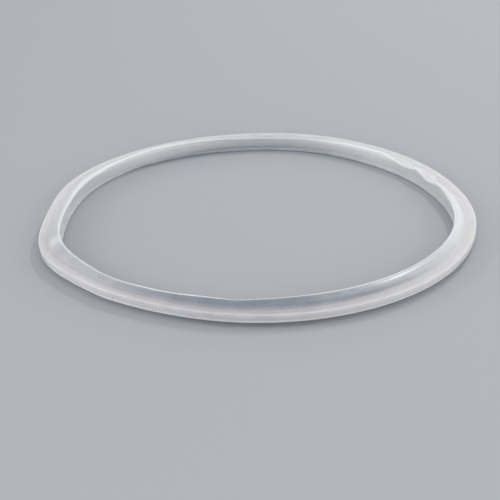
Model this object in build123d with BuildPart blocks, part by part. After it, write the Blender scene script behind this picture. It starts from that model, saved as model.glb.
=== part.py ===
"""Sealing ring of a stovetop pressure cooker, moulded in one piece from silicone.

A solid heel sits in the channel of the lid. Two thin lips reach inwards from the heel and open towards
the middle, so that steam gets between them and presses one against the lid and the other against the pot.
The ring is the same either way up. +Z is its axis, and the origin is the centre of the circle it rests on.
"""

import os

from build123d import *

# Driving dimensions in millimetres
heel_diameter = 246.0  # across the outer wall
heel_width = 5.5  # from the outer wall to the roots of the lips
heel_height = 4.8  # between the heel's two flat sides
heel_edge_round = 0.6  # on the two outer edges
lip_reach = 7.0  # from the heel to a lip's free edge
lip_flare = 2.7  # from a flat side of the heel out to the flat land of its lip
lip_land_width = 1.4  # flat land along the free edge, before it is rounded
lip_edge_thickness = 1.8  # at the free edge
groove_root_height = 1.4  # between the lips, where they leave the heel

# Rounds that follow the wall that they are on
round_share = 0.45  # a little under a full half-round
lip_edge_round = round_share * lip_edge_thickness
groove_root_round = round_share * groove_root_height

# Places in the cross-section: distances from the axis, and heights above the middle plane
heel_radius = heel_diameter / 2
lip_root_radius = heel_radius - heel_width
lip_end_radius = lip_root_radius - lip_reach
land_radius = lip_end_radius + lip_land_width
heel_side = heel_height / 2
land_height = heel_side + lip_flare
groove_side = groove_root_height / 2

with BuildPart() as sealing_ring:
    with BuildSketch(Plane.XZ.shift_origin((0, 0, land_height))) as section:
        # The half above the middle plane, and its mirror image below; both sides of a lip end level
        with BuildLine():
            heel = Polyline(
                (lip_root_radius, 0), (heel_radius, 0), (heel_radius, heel_side), (lip_root_radius, heel_side)
            )
            lip_edge = Polyline(
                (land_radius, land_height),
                (lip_end_radius, land_height),
                (lip_end_radius, land_height - lip_edge_thickness),
            )
            TangentArc(lip_edge @ 0, heel @ 1, tangent=(1, 0))
            lip_inside = TangentArc(lip_edge @ 1, (lip_root_radius, groove_side), tangent=(1, 0))
            Line(lip_inside @ 1, heel @ 0)
        make_face()
        mirror(about=Plane.XZ)

        # The heel's outer edges, the lips' free edges, and the root of the groove between the lips
        fillet(section.vertices().group_by(Axis.X)[-1], heel_edge_round)
        fillet(section.vertices().group_by(Axis.X)[0], lip_edge_round)
        groove_root = (lip_root_radius, 0)
        fillet(section.vertices().sort_by_distance(groove_root)[:2], groove_root_round)
    revolve(axis=Axis.Z)
sealing_ring.part.label = "sealing_ring"

os.makedirs("parts", exist_ok=True)
export_step(sealing_ring.part, "parts/sealing_ring.step")
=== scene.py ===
# %% [markdown]
# # A silicone sealing ring
#
# This lesson dresses one moulded piece: the sealing ring of a pressure cooker's lid, lying by itself on a
# pale floor. The ring is soft, so the one in front of us isn't the perfect circle that left the mould: its
# left end has been pressed in, it is twisted a little, and the upper lip has crept into waves at one place.
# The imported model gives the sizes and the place, and Blender adds the relaxed shape and the milky rubber.

import math
from collections import namedtuple

import bmesh
import bpy
from mathutils import Matrix, Quaternion, Vector


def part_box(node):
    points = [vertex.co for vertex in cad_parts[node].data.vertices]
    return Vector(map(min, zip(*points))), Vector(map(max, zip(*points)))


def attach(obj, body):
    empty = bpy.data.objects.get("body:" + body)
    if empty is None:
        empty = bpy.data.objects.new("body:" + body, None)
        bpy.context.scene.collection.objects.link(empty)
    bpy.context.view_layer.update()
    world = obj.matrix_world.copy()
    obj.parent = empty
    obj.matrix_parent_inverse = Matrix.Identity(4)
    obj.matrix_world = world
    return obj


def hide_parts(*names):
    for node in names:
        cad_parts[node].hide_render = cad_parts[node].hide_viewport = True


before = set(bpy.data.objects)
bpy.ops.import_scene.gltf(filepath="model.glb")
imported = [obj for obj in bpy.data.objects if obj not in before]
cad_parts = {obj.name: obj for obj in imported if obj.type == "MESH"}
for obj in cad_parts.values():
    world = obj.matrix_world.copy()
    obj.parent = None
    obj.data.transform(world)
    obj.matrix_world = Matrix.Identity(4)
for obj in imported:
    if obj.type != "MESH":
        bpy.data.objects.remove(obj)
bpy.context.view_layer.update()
ring_low, ring_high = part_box("sealing_ring")

MM = 0.001  # one millimetre in Blender's metres
print("Packed pieces:", sorted(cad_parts))

# %% [markdown]
# ## The section
#
# A sealing ring is one cross-section carried round a circle, so the section is where the modelling happens.
# It has a solid heel and two thin lips that open towards the middle, and its lower half mirrors its upper
# half. We could draw it as a curve with a bevel, but a few vertices that are mirrored and rounded with a
# vertex bevel keep every size in sight, and their edge loop can then be spun. The lips start as straight
# walls. Once their edges are divided, they are lifted onto arcs that end level at the free edge, and the
# corners where they meet the heel are softened.

# %% Sizes of the section
heel_radius = ring_high.x
ring_height = ring_high.z - ring_low.z
heel_width = 5.5 * MM
heel_height = 4.8 * MM
lip_reach = 7.0 * MM
lip_land_width = 1.4 * MM
lip_edge_thickness = 1.8 * MM
groove_root_height = 1.4 * MM

lip_root_radius = heel_radius - heel_width
lip_end_radius = lip_root_radius - lip_reach
land_radius = lip_end_radius + lip_land_width
heel_side = heel_height / 2
land_height = ring_height / 2
groove_side = groove_root_height / 2

# Places as (distance from the axis, height above the middle plane)
outer_edge = (heel_radius, heel_side)
lip_crease = (lip_root_radius, heel_side)
land_start = (land_radius, land_height)
lip_end_outside = (lip_end_radius, land_height)
lip_end_inside = (lip_end_radius, land_height - lip_edge_thickness)
groove_root = (lip_root_radius, groove_side)
upper_half = [
    (heel_radius, 0),
    outer_edge,
    lip_crease,
    land_start,
    lip_end_outside,
    lip_end_inside,
    groove_root,
    (lip_root_radius, 0),
]
print("Inner diameter of the lips in mm:", round(2 * lip_end_radius / MM, 1))

# %% Draw the section, mirror it and round its outer corners
SAME_PLACE = 0.001 * MM
HEEL_ROUND = 0.6 * MM
HEEL_ROUND_SEGMENTS = 4
LIP_ROUND = 0.81 * MM
LIP_ROUND_SEGMENTS = 6


def verts_near(section, place, reach):
    """The vertices within reach of a place of the upper half, or of its mirror image in the lower half."""
    return [
        vert
        for vert in section.verts
        if math.hypot(vert.co.x - place[0], abs(vert.co.z) - place[1]) < reach
    ]


def round_corners(section, place, offset, segments):
    """Rounds the corner at a place of the upper half, and its mirror image in the lower half."""
    bmesh.ops.bevel(
        section,
        geom=verts_near(section, place, SAME_PLACE),
        offset=offset,
        affect="VERTICES",
        segments=segments,
        profile=0.5,
        material=-1,
    )


ring = bmesh.new()
half_verts = [ring.verts.new((radius, 0, height)) for radius, height in upper_half]
for vert, next_vert in zip(half_verts, half_verts[1:]):
    ring.edges.new((vert, next_vert))
bmesh.ops.mirror(
    ring, geom=ring.verts[:] + ring.edges[:], matrix=Matrix.Identity(4), merge_dist=SAME_PLACE, axis="Z"
)

# The loop is filled while its corners are rounded, and emptied again afterwards
bmesh.ops.edgeloop_fill(ring, edges=ring.edges[:])
round_corners(ring, outer_edge, HEEL_ROUND, HEEL_ROUND_SEGMENTS)
round_corners(ring, lip_end_outside, LIP_ROUND, LIP_ROUND_SEGMENTS)
round_corners(ring, lip_end_inside, LIP_ROUND, LIP_ROUND_SEGMENTS)
bmesh.ops.delete(ring, geom=ring.faces[:], context="FACES_ONLY")
print("Section corners after rounding:", len(ring.verts))

# %% Divide the long edges
POINT_SPACING = 0.5 * MM

edges_by_cuts = {}
for edge in ring.edges:
    cuts = int(edge.calc_length() / POINT_SPACING)
    edges_by_cuts.setdefault(cuts, []).append(edge)
for cuts, edges in edges_by_cuts.items():
    if cuts:
        bmesh.ops.subdivide_edges(ring, edges=edges, cuts=cuts)
print("Section points:", len(ring.verts))


# %% Arch the lips
def arch(distance, run, rise):
    """How far an arc that starts level stands above its chord, at a distance from its level start."""
    radius = (run**2 + rise**2) / (2 * rise)
    return rise * distance / run - radius + math.sqrt(radius**2 - distance**2)


def share_along_lip(radius):
    """How far along a lip a distance from the axis is: 0 at the lip's root and 1 at its free edge."""
    return min(max((lip_root_radius - radius) / lip_reach, 0), 1)


def lip_middle(radius):
    """The height of the middle of a lip above the middle plane, at a distance from the axis."""
    root_middle = (heel_side + groove_side) / 2
    end_middle = land_height - lip_edge_thickness / 2
    return root_middle + share_along_lip(radius) * (end_middle - root_middle)


arched = 0
for vert in ring.verts:
    if abs(vert.co.z) > lip_middle(vert.co.x):
        start = land_radius
        rise = land_height - heel_side
    else:
        start = lip_end_radius
        rise = land_height - lip_edge_thickness - groove_side
    if start < vert.co.x < lip_root_radius:
        lift = arch(vert.co.x - start, lip_root_radius - start, rise)
        vert.co.z += math.copysign(lift, vert.co.z)
        arched += 1
print("Points lifted onto arcs:", arched)

# %% Soften the corners between lips and heel
SOFT_REACH = 1.1 * MM
SOFT_REPEATS = 4
SOFT_FACTOR = 0.5

for corner in (lip_crease, groove_root):
    for _ in range(SOFT_REPEATS):
        bmesh.ops.smooth_vert(
            ring,
            verts=verts_near(ring, corner, SOFT_REACH),
            factor=SOFT_FACTOR,
            use_axis_x=True,
            use_axis_y=True,
            use_axis_z=True,
        )
    print("Points near a softened corner:", len(verts_near(ring, corner, SOFT_REACH)))

# %% [markdown]
# ## The ring
#
# Spin carries the section round the axis. A full turn needs use_merge, or the first and the last section
# would lie on each other and leave a seam. Spin doesn't promise which way faces point, so the normals are
# recalculated afterwards.

# %% Spin the section into a ring
SPIN_STEPS = 540

bmesh.ops.spin(
    ring,
    geom=ring.verts[:] + ring.edges[:],
    cent=(0, 0, 0),
    axis=(0, 0, 1),
    angle=2 * math.pi,
    steps=SPIN_STEPS,
    use_merge=True,
)
bmesh.ops.recalc_face_normals(ring, faces=ring.faces[:])
print("Faces:", len(ring.faces), "open edges:", sum(1 for edge in ring.edges if not edge.is_manifold))

# %% [markdown]
# ## Thin and clear rubber, with painted light and shade
#
# Silicone looks white where it is thick, and greyer and bluer where it is thin and clear. Light and shade
# are
# painted into the colour as well: painted shade on the lips in front and behind, along the root of the upper
# lip and on the lower lip's free edge, and painted light in the groove, at the foot of the outer wall, along
# the upper lip's free edge where light leaves it, and in a few whiter places on the upper lip, one across
# the hard bend at the left end. A volume shader could find part of that out from the shape, but it is slow
# and grainy, and an exported model loses it. So every vertex stores four marks, which the material reads:
# how thin the rubber is, how clear and shaded, how much painted light the groove gets, and how pale and lit
# it is painted there. 0 is not at all, and 1 or more is fully. A fifth mark is the place along the section,
# for the lines that the mould left. All of them are worked out on the round ring, before it is bent.

# %% Find where each vertex is in the section
SectionPlace = namedtuple("SectionPlace", "vert angle depth height in_groove")

mark_names = ("thinness", "clearness_and_shade", "painted_groove_light", "paleness_and_painted_light", "section_place_mm")
mark_layers = {name: ring.verts.layers.float.new(name) for name in mark_names}


def turn_and_radius(point):
    """A point's angle round the axis, in radians, and its distance from the axis."""
    return math.atan2(point.y, point.x), math.hypot(point.x, point.y)


def section_place(vert):
    """A vertex with its angle in degrees, its depth inwards from the outer wall, and its height.

    The last value says whether it is in the groove.
    """
    turn, radius = turn_and_radius(vert.co)
    depth = heel_radius - radius
    in_groove = depth > heel_width / 2 and abs(vert.co.z) < lip_middle(radius)
    return SectionPlace(vert, math.degrees(turn), depth, vert.co.z, in_groove)


places = [section_place(vert) for vert in ring.verts]
print("Vertices in the groove:", sum(place.in_groove for place in places), "of", len(places))

# %% Mark how thin the rubber is
# Depths over which the rubber goes from thick to thin
OUTSIDE_THINS = (3.4 * MM, 7.2 * MM)
GROOVE_THINS = (5.5 * MM, 10.5 * MM)


def soft_step(value, start, end):
    """Goes from 0 at start to 1 at end, slowly at first and at last."""
    share = min(max((value - start) / (end - start), 0), 1)
    return share * share * (3 - 2 * share)


def mark_range(name):
    """The lowest and the highest value of a mark."""
    values = [vert[mark_layers[name]] for vert in ring.verts]
    return round(min(values), 2), round(max(values), 2)


for place in places:
    thins = GROOVE_THINS if place.in_groove else OUTSIDE_THINS
    place.vert[mark_layers["thinness"]] = soft_step(place.depth, *thins)
    place.vert[mark_layers["section_place_mm"]] = (place.depth + place.height) / MM
print("Thinness runs over", mark_range("thinness"))

# %% Mark where the rubber is clear and where shade is painted
# Each soft bump is (centre and half-width in degrees, anticlockwise from +X, and its size)
painted_shade_outside = [  # painted shade, darker and bluer, on top of the heel and of the upper lip
    (85, 30, 0.35),
    (203, 14, 0.25),
    (265, 52, 1.0),
]
painted_shade_inside = [  # painted shade in the groove and below the middle plane
    (90, 40, 1.0),
    (188, 14, 0.25),
    (267, 51, 1.0),
]
painted_crease_shade = [  # painted shade along the crease at the root of the upper lip
    (302, 22, 0.3),
]
CREASE_DEPTH = 6.1 * MM
CREASE_HALF_WIDTH = 1.1 * MM
LOW_EDGE = (11.4 * MM, 12.4 * MM)  # depths over which the lower lip rounds off to its free edge
LOW_EDGE_SHADE = 0.5  # painted shade on the lower lip's free edge, which lies on the floor, so little light leaves it


def sum_of_bumps(bumps, angle):
    """The height, at an angle in degrees, of soft bumps that each fade out on both sides of their centre."""
    height = 0
    for centre, half_width, size in bumps:
        gap = (angle - centre + 180) % 360 - 180
        height += size * math.exp(-((gap / half_width) ** 2))
    return height


for place in places:
    if place.height > 0 and not place.in_groove:
        crease = math.exp(-(((place.depth - CREASE_DEPTH) / CREASE_HALF_WIDTH) ** 2))
        clearness_and_shade = sum_of_bumps(painted_shade_outside, place.angle)
        clearness_and_shade += crease * sum_of_bumps(painted_crease_shade, place.angle)
    else:
        clearness_and_shade = sum_of_bumps(painted_shade_inside, place.angle)
        if place.height < 0:
            clearness_and_shade += LOW_EDGE_SHADE * soft_step(place.depth, *LOW_EDGE)
    place.vert[mark_layers["clearness_and_shade"]] = clearness_and_shade
print("Clearness runs over", mark_range("clearness_and_shade"))

# %% Mark where light is painted into the groove
dim_places_inside = [  # where less light gets into the groove
    (105, 40, 0.4),
]
OPEN_EDGE = 0.53  # how far the free edge of a lip is out of the groove, and so gets less painted groove light
LOW_EDGE_DIMNESS = 0.6  # less light gets to the free edge of the lower lip

for place in places:
    if place.in_groove:
        openness = OPEN_EDGE * place.vert[mark_layers["thinness"]]
        painted_groove_light = (1 - openness) * (1 - sum_of_bumps(dim_places_inside, place.angle))
        if place.height < 0:
            painted_groove_light *= 1 - LOW_EDGE_DIMNESS * soft_step(place.depth, *LOW_EDGE)
        place.vert[mark_layers["painted_groove_light"]] = painted_groove_light
print("Enclosed runs over", mark_range("painted_groove_light"))

# %% Mark where light is painted into the rubber as paler colour
painted_light_inside = [  # painted light where more light gets into the groove
    (35, 24, 1.0),
]
bend_marks_and_highlights = [  # where the upper lip is painted whiter: painted light behind on the left and at the right end, and a narrow band across the hard bend at the left end
    (125, 6, 0.5),
    (201, 2.6, 0.45),
    (350, 18, 0.6),
]
painted_light_low_wall = [  # painted light where more light comes through the foot of the outer wall
    (218, 20, 1.0),
    (322, 22, 1.0),
]
painted_edge_light_mm = [  # where the painted light along the upper lip's free edge is wider, or narrower
    (90, 30, -1.5),
    (238, 22, 1.6),
    (299, 16, 0.5),
]
EDGE_LIGHT_FROM = 11.1 * MM
EDGE_FADE = 1.0 * MM
LOW_WALL = (0.5 * MM, 2.4 * MM)  # below the middle plane
LOW_WALL_LIGHT = 0.75

for place in places:
    thinness = place.vert[mark_layers["thinness"]]
    paleness_and_painted_light = place.vert[mark_layers["painted_groove_light"]] * sum_of_bumps(painted_light_inside, place.angle)
    if place.height > 0:
        # painted light and highlight along the upper lip's free edge, where light leaves the rubber
        edge_light_start = EDGE_LIGHT_FROM - MM * sum_of_bumps(painted_edge_light_mm, place.angle)
        edge = soft_step(place.depth, edge_light_start, edge_light_start + EDGE_FADE)
        paleness_and_painted_light = max(paleness_and_painted_light, edge, thinness * sum_of_bumps(bend_marks_and_highlights, place.angle))
    else:
        low_wall_light = LOW_WALL_LIGHT + sum_of_bumps(painted_light_low_wall, place.angle)
        paleness_and_painted_light = max(paleness_and_painted_light, low_wall_light * (1 - thinness) * soft_step(-place.height, *LOW_WALL))
    place.vert[mark_layers["paleness_and_painted_light"]] = paleness_and_painted_light
print("Paleness runs over", mark_range("paleness_and_painted_light"))

# %% [markdown]
# ## How the soft ring lies
#
# Rubber keeps some of the shape that it was stored in. A simulation would need that whole story, so the
# relaxed shape is told directly, with soft bumps again: where the ring is out of round, where the section is
# twisted, where the upper lip is lifted or pressed down, and where the lower lip has spread. The weight of
# the ring keeps the lower lip on the floor, so that lip bends back whatever the twist did to it.

# %% Bends of the relaxed ring
out_of_round_mm = [
    (18, 22, -1.6),
    (74, 20, 2.0),
    (176, 16, -2.9),  # the left end is pressed in behind
    (204, 14, 3.2),  # and pushed out in front
    (230, 5, 0.5),
    (248, 18, -1.3),
    (305, 35, 0.6),
]
twist_degrees = [  # positive turns the lips upwards
    (5, 12, 1.0),
    (85, 22, -1.3),
    (125, 18, 0.8),
    (193, 20, 8.0),  # strongest where the left end is bent
    (240, 20, -3.4),
    (325, 32, 3.6),
]
upper_lip_lift_mm = [
    (30, 14, -0.9),
    (85, 20, -1.1),
    (126, 18, 1.1),
    (178, 12, 1.0),
    (226, 18, -1.8),
    (223.5, 4, -0.4),
    (245, 6, -0.45),
    (263, 14, -0.55),
    (264, 4, -0.6),
    (279, 9, 0.3),
    (295, 20, 0.4),
    (347, 14, -0.6),
    (47, 4, 0.8),  # from here on, the short waves behind on the right
    (36, 4, -1.2),
    (29, 2.5, 1.5),
    (21.5, 3.5, -1.6),
    (12.5, 4.5, 1.2),
]
lower_lip_spread_mm = [  # positive draws the lower lip's edge outwards
    (55, 28, -1.8),
    (126, 20, 0.9),
    (131, 4, 0.8),
    (178, 14, 1.1),
    (352, 22, 0.7),
]
bend_lists = (out_of_round_mm, twist_degrees, upper_lip_lift_mm, lower_lip_spread_mm)
print("Soft bumps that bend the ring:", sum(len(bumps) for bumps in bend_lists))

# %% Lay the ring down in its relaxed shape
UPPER_LIP_CURL = 1.5  # a power above 1 bends a lip more towards its free edge
LOWER_LIP_CURL = 2

heel_centre_radius = heel_radius - heel_width / 2
edge_arm = heel_centre_radius - lip_end_radius

for vert in ring.verts:
    turn, radius = turn_and_radius(vert.co)
    angle = math.degrees(turn)
    height = vert.co.z
    lip_share = share_along_lip(radius)

    twist = math.radians(sum_of_bumps(twist_degrees, angle))
    arm = radius - heel_centre_radius
    twisted_radius = heel_centre_radius + arm * math.cos(twist) + height * math.sin(twist)
    twisted_height = height * math.cos(twist) - arm * math.sin(twist)
    if height > 0:
        twisted_height += lip_share**UPPER_LIP_CURL * MM * sum_of_bumps(upper_lip_lift_mm, angle)
    else:
        curl = lip_share**LOWER_LIP_CURL
        edge_lift = land_height * (1 - math.cos(twist)) + edge_arm * math.sin(twist)
        twisted_height -= curl * edge_lift
        twisted_radius += curl * MM * sum_of_bumps(lower_lip_spread_mm, angle)

    laid_radius = twisted_radius + MM * sum_of_bumps(out_of_round_mm, angle)
    laid_height = max(ring_low.z, twisted_height + ring_low.z + land_height)
    vert.co = (laid_radius * math.cos(turn), laid_radius * math.sin(turn), laid_height)
print("Highest point of the laid ring in mm:", round(max(vert.co.z for vert in ring.verts) / MM, 2))

# %% Turn the ring into a piece of the model
ring_mesh = bpy.data.meshes.new("soft_sealing_ring")
ring.to_mesh(ring_mesh)
ring.free()
ring_mesh.shade_smooth()
soft_ring = bpy.data.objects.new("soft_sealing_ring", ring_mesh)
bpy.context.collection.objects.link(soft_ring)
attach(soft_ring, "root")
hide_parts("sealing_ring")
print("Soft ring:", len(ring_mesh.vertices), "vertices,", len(ring_mesh.polygons), "faces")

# %% [markdown]
# ## Moulded silicone rubber
#
# Clear silicone rubber is filled with fine silica, which makes it milky. It is pressed in a turned mould,
# which leaves a satin skin and faint lines round the ring. A glass-like shader with a volume inside would be
# truest, but subsurface scattering gives nearly the same softness faster, and the marks give the colour:
# white on the thick heel, blue grey with painted shade where a lip is thin and clear, and painted light
# where light leaves the rubber. Light also comes into the groove through its walls, which a surface shader
# doesn't know, so painted light lightens the rubber in the groove with a screen mix.


# %% Helpers for materials
def linear(hex_colour):
    """An sRGB hex colour as the linear RGBA that Blender's sockets take."""
    channels = [int(hex_colour[start : start + 2], 16) / 255 for start in (1, 3, 5)]
    return [c / 12.92 if c <= 0.04045 else ((c + 0.055) / 1.055) ** 2.4 for c in channels] + [1]


def add_node(material, kind, settings=None, inputs=None):
    """Adds a node: settings are its own properties, and an input is either a value or a socket to link."""
    nodes = material.node_tree.nodes
    links = material.node_tree.links
    node = nodes.new(kind)
    for name, value in (settings or {}).items():
        setattr(node, name, value)
    for name, value in (inputs or {}).items():
        if isinstance(value, bpy.types.NodeSocket):
            links.new(value, node.inputs[name])
        else:
            node.inputs[name].default_value = value
    return node


def new_material(name):
    """An empty node material, with only its output."""
    material = bpy.data.materials.new(name)
    material.use_nodes = True
    material.node_tree.nodes.clear()
    output = add_node(material, "ShaderNodeOutputMaterial")
    return material, output


print("Mid grey as linear light:", round(linear("#808080")[0], 3))

# %% Colour of the rubber, from the marks
# Milky silicone gives the eye a soft white glow and a satin gloss, and painted light gives the bright line
# where light leaves an edge
WHITE_HEEL = "#d6d5d6"
# the clear colours are clear rubber with painted shade
SHADED_CLEAR_HEEL = "#b5b3b6"
WHITE_LIP = "#d6d7d8"
SHADED_CLEAR_LIP = "#7f8691"
GROOVE_LIGHT = "#d8dbe0"
# painted light, glow and highlight
PALE_AND_LIT_RUBBER = "#f4f4f4"

silicone, silicone_output = new_material("milky_silicone_rubber")
mark_outputs = {
    name: add_node(silicone, "ShaderNodeAttribute", {"attribute_name": name}).outputs["Fac"]
    for name in mark_names
}
heel_colour = add_node(
    silicone,
    "ShaderNodeMix",
    {"data_type": "RGBA"},
    {"Factor": mark_outputs["clearness_and_shade"], "A": linear(WHITE_HEEL), "B": linear(SHADED_CLEAR_HEEL)},
)
lip_colour = add_node(
    silicone,
    "ShaderNodeMix",
    {"data_type": "RGBA"},
    {"Factor": mark_outputs["clearness_and_shade"], "A": linear(WHITE_LIP), "B": linear(SHADED_CLEAR_LIP)},
)
body_colour = add_node(
    silicone,
    "ShaderNodeMix",
    {"data_type": "RGBA"},
    {
        "Factor": mark_outputs["thinness"],
        "A": heel_colour.outputs["Result"],
        "B": lip_colour.outputs["Result"],
    },
)
lightened_colour = add_node(
    silicone,
    "ShaderNodeMix",
    {"data_type": "RGBA", "blend_type": "SCREEN"},
    {"Factor": mark_outputs["painted_groove_light"], "A": body_colour.outputs["Result"], "B": linear(GROOVE_LIGHT)},
)
# painted light: paler rubber where the marks say so
lit_pale_colour = add_node(
    silicone,
    "ShaderNodeMix",
    {"data_type": "RGBA"},
    {"Factor": mark_outputs["paleness_and_painted_light"], "A": lightened_colour.outputs["Result"], "B": linear(PALE_AND_LIT_RUBBER)},
)
print("Marks that the silicone reads:", list(mark_outputs))

# %% Clouds, grain and mould lines
CLOUD_SIZE = 9 * MM  # soft cloudiness in the rubber
CLOUD_STRENGTH = 0.25
GRAIN_SIZE = 0.9 * MM  # satin of the mould, drawn coarser than real so that it shows
GRAIN_STRENGTH = 0.32
MOULD_LINE_MM = 1.3  # faint lines round the ring, from the turned mould, also drawn coarser than real
MOULD_LINE_STRENGTH = 0.12

coordinates = add_node(silicone, "ShaderNodeTexCoord").outputs["Object"]
clouds = add_node(
    silicone,
    "ShaderNodeTexNoise",
    inputs={"Vector": coordinates, "Scale": 1 / CLOUD_SIZE, "Detail": 3},
)
grain = add_node(
    silicone,
    "ShaderNodeTexNoise",
    inputs={"Vector": coordinates, "Scale": 1 / GRAIN_SIZE, "Detail": 2},
)
mould_lines = add_node(
    silicone,
    "ShaderNodeTexNoise",
    {"noise_dimensions": "1D"},
    {"W": mark_outputs["section_place_mm"], "Scale": 1 / MOULD_LINE_MM, "Detail": 1},
)
rubber_colour = lit_pale_colour
for pattern, strength in (
    (clouds, CLOUD_STRENGTH),
    (grain, GRAIN_STRENGTH),
    (mould_lines, MOULD_LINE_STRENGTH),
):
    rubber_colour = add_node(
        silicone,
        "ShaderNodeMix",
        {"data_type": "RGBA", "blend_type": "SOFT_LIGHT"},
        {"Factor": strength, "A": rubber_colour.outputs["Result"], "B": pattern.outputs["Fac"]},
    )
print("Nodes for the colour:", len(silicone.node_tree.nodes))

# %% Satin surface and soft inside
SATIN_HEIGHT = 0.05 * MM
SATIN_STRENGTH = 0.3
HEEL_ROUGHNESS = 0.5
LIP_ROUGHNESS = 0.24  # the lips shine more than the heel
SILICONE_IOR = 1.41
SCATTER_REACH = 10 * MM
SCATTER_SHARES = (1.0, 0.95, 0.9)  # red light goes furthest into the rubber

satin = add_node(
    silicone,
    "ShaderNodeBump",
    inputs={"Height": grain.outputs["Fac"], "Strength": SATIN_STRENGTH, "Distance": SATIN_HEIGHT},
)
lined_satin = add_node(
    silicone,
    "ShaderNodeBump",
    inputs={
        "Height": mould_lines.outputs["Fac"],
        "Strength": SATIN_STRENGTH,
        "Distance": SATIN_HEIGHT,
        "Normal": satin.outputs["Normal"],
    },
)
roughness = add_node(
    silicone,
    "ShaderNodeMapRange",
    inputs={"Value": mark_outputs["thinness"], "To Min": HEEL_ROUGHNESS, "To Max": LIP_ROUGHNESS},
)
rubber = add_node(
    silicone,
    "ShaderNodeBsdfPrincipled",
    inputs={
        "Base Color": rubber_colour.outputs["Result"],
        "Roughness": roughness.outputs["Result"],
        "Normal": lined_satin.outputs["Normal"],
        "IOR": SILICONE_IOR,
        "Subsurface Weight": 1.0,
        "Subsurface Radius": SCATTER_SHARES,
        "Subsurface Scale": SCATTER_REACH,
    },
)
silicone.node_tree.links.new(rubber.outputs["BSDF"], silicone_output.inputs["Surface"])
ring_mesh.materials.append(silicone)
print("Silicone nodes:", len(silicone.node_tree.nodes))

# %% [markdown]
# ## Floor
#
# The ring lies on a wide board with matt pale paint. A backdrop that curves up behind would hide the far
# edge of the floor in low views, but a flat board is plainer, and its far edge is out of the camera's sight.

# %% Floor
# Matt paint gives the eye an even, pale ground with a soft shadow
FLOOR_SIZE = 40.0
FLOOR_COLOUR = "#b3b6bb"
FLOOR_ROUGHNESS = 0.7

floor_material, floor_output = new_material("matt_pale_board")
floor_paint = add_node(
    floor_material,
    "ShaderNodeBsdfPrincipled",
    inputs={"Base Color": linear(FLOOR_COLOUR), "Roughness": FLOOR_ROUGHNESS},
)
floor_material.node_tree.links.new(floor_paint.outputs["BSDF"], floor_output.inputs["Surface"])

board = bmesh.new()
bmesh.ops.create_grid(board, x_segments=1, y_segments=1, size=FLOOR_SIZE / 2)
floor_mesh = bpy.data.meshes.new("floor")
board.to_mesh(floor_mesh)
board.free()
floor_mesh.materials.append(floor_material)
floor = bpy.data.objects.new("floor", floor_mesh)
bpy.context.collection.objects.link(floor)
print("Floor in metres:", FLOOR_SIZE, "by", FLOOR_SIZE)

# %% [markdown]
# ## Light
#
# Large lamps make soft edges on a glossy pale thing. Here a big softbox hangs in front and two weaker ones
# fill the sides. A weak, low one behind brightens the free edges of the lips, and a narrow strip, high up
# behind on the right, draws one gleam on the lip in front. Bare lamps would be simpler, but their small and
# hard reflections would look wet. An even world fills the shadows. The lamps are hidden from the camera, so
# that none stands in a low view.

# %% Light
LIGHT_TARGET = Vector((0, 0, 0))
WORLD_COLOUR = "#f2f3f5"
WORLD_STRENGTH = 0.6


def softbox(name, place, width, depth, watts, turn=0):
    """A rectangular lamp that faces the ring, turned about its own axis by some degrees."""
    lamp = bpy.data.lights.new(name, "AREA")
    lamp.shape = "RECTANGLE"
    lamp.size = width
    lamp.size_y = depth
    lamp.energy = watts
    light = bpy.data.objects.new(name, lamp)
    light.location = place
    light.rotation_mode = "QUATERNION"
    facing = (LIGHT_TARGET - Vector(place)).to_track_quat("-Z", "Y")
    light.rotation_quaternion = facing @ Quaternion((0, 0, 1), math.radians(turn))
    light.visible_camera = False
    bpy.context.collection.objects.link(light)
    return light


lights = [
    softbox("back_softbox", place=(0.1, 1.2, 0.4), width=1.2, depth=0.25, watts=1.3),
    softbox("front_softbox", place=(0.0, -1.3, 0.4), width=1.4, depth=0.6, watts=7.5),
    softbox("left_softbox", place=(-1.1, -0.2, 0.45), width=0.8, depth=0.6, watts=3.5),
    softbox("right_softbox", place=(1.1, -0.1, 0.45), width=0.8, depth=0.6, watts=2.5),
    softbox("strip_softbox", place=(0.5, 0.68, 0.97), width=0.1, depth=0.42, watts=3, turn=52),
]

world = bpy.data.worlds.new("studio")
world.use_nodes = True
background = world.node_tree.nodes["Background"]
background.inputs["Color"].default_value = linear(WORLD_COLOUR)
background.inputs["Strength"].default_value = WORLD_STRENGTH
bpy.context.scene.world = world
bpy.context.scene.view_settings.view_transform = "Standard"
print("Lamps and their watts:", {light.name: round(light.data.energy, 1) for light in lights})

# %% [markdown]
# ## Camera
#
# The camera looks down from about 25 degrees, as in the photograph. The focal length is in pixels of a
# picture 500 wide, because a picture's outline gives it that way, and the sensor's width turns it into
# millimetres. A lens shift could place the ring in the picture, but aiming a little in front of the ring's
# middle does the same and keeps the lens plain.

# %% Camera
CAMERA_DISTANCE = 0.738
CAMERA_ELEVATION = math.radians(24.71)
CAMERA_ROLL = math.radians(-1.0)
CAMERA_AIM = Vector((-0.0046, -0.0357, 0))
FOCAL_LENGTH_PX = 1290.5
IMAGE_WIDTH_PX = 500
SENSOR_WIDTH_MM = 36

camera_data = bpy.data.cameras.new("camera")
camera_data.sensor_width = SENSOR_WIDTH_MM
camera_data.lens = FOCAL_LENGTH_PX / IMAGE_WIDTH_PX * SENSOR_WIDTH_MM
camera = bpy.data.objects.new("camera", camera_data)
camera.location = CAMERA_DISTANCE * Vector((0, -math.cos(CAMERA_ELEVATION), math.sin(CAMERA_ELEVATION)))
camera.rotation_mode = "QUATERNION"
aim = (CAMERA_AIM - camera.location).to_track_quat("-Z", "Y")
camera.rotation_quaternion = aim @ Quaternion((0, 0, 1), CAMERA_ROLL)
bpy.context.collection.objects.link(camera)
bpy.context.scene.camera = camera
print("Lens in mm:", round(camera_data.lens, 1))
